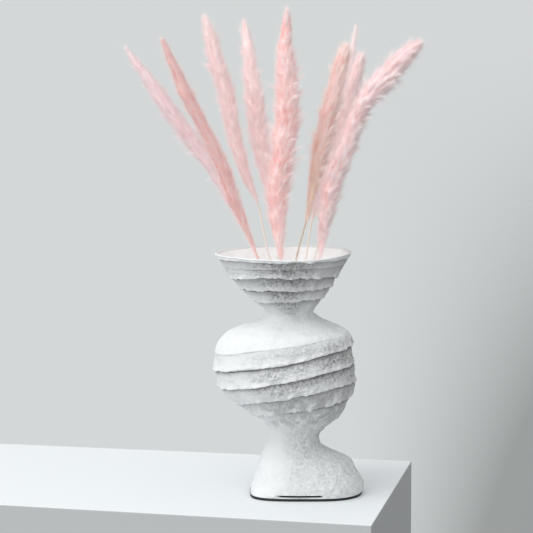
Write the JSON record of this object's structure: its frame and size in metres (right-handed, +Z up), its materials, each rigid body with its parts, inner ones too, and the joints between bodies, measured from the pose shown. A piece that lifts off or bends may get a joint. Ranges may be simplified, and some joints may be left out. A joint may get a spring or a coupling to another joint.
{
  "type": "vase of pampas grass",
  "caption": "Hand-plastered white vase with a funnel mouth, ridged round belly and squarish foot, holding a loose fan of slender plumed stalks of dyed pink pampas grass.",
  "frame": {"origin": "on the underside of the foot pad, straight under the middle of the vase's neck", "axes": "+Z up; -Y is the front, where the belly's ridges rise to the right and the foot bulges to the right; +X is to the right seen from the front"},
  "size_m": [0.3733, 0.1836, 0.6068],
  "materials": {
    "plaster": "rough hand-applied white plaster",
    "pad": "matte black pad",
    "dusty_plume": "soft dried plume, dusty pink",
    "rose_plume": "soft dried plume, rose pink",
    "blush_plume": "soft dried plume, pale pink",
    "coral_plume": "soft dried plume, coral pink",
    "sand_plume": "soft dried plume, pink over a tan core"
  },
  "bodies": {
    "root": {"vase": "plaster", "foot_pad": "pad", "pampas_1": "dusty_plume", "pampas_2": "rose_plume", "pampas_3": "blush_plume", "pampas_4": "blush_plume", "pampas_5": "coral_plume", "pampas_6": "sand_plume", "pampas_7": "blush_plume", "pampas_8": "blush_plume", "pampas_9": "blush_plume"}
  },
  "joints": []
}
